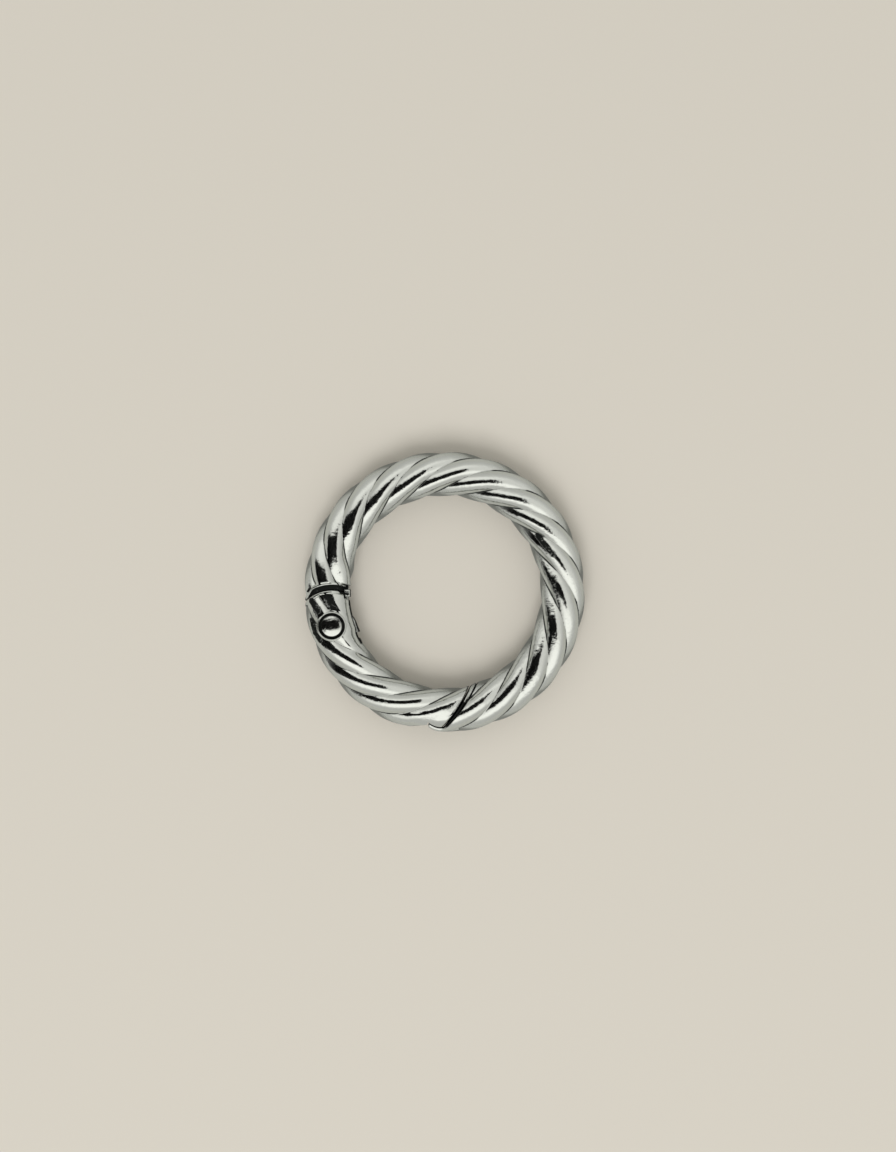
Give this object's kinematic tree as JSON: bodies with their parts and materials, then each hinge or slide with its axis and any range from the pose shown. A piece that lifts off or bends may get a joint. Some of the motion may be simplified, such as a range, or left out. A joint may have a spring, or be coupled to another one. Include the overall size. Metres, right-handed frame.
{
  "type": "spring gate ring",
  "caption": "Round spring gate ring with a rope twist, whose quarter gate swings inwards on a rivet and shuts against a lip.",
  "frame": {"origin": "centre of the ring, on its middle plane", "axes": "+Z out of the ring's plane, +X away from the hinge, +Y across; the hinge lies at 196.8 degrees from +X"},
  "size_m": [0.0357, 0.0358, 0.0056],
  "materials": {
    "ring_silver": "polished antique silver plating, black in the grooves",
    "gate_silver": "polished antique silver plating, black in the grooves",
    "rivet_silver": "polished silver plating, black round its domed heads",
    "spring_steel": "drawn wire"
  },
  "bodies": {
    "ring": {"ring_body": "ring_silver"},
    "swing_gate": {"gate": "gate_silver", "hinge_rivet": "rivet_silver", "gate_spring": "spring_steel"}
  },
  "joints": [
    {"name": "gate_swing", "type": "hinge", "parent": "ring", "child": "swing_gate", "pos_m": [-0.01436, -0.00434, 0], "axis": [0, 0, 1], "range_deg": [0, 40], "stiffness_Nm_per_rad": 0.008, "springref_deg": -22.92, "deforming": ["gate_spring"]}
  ]
}
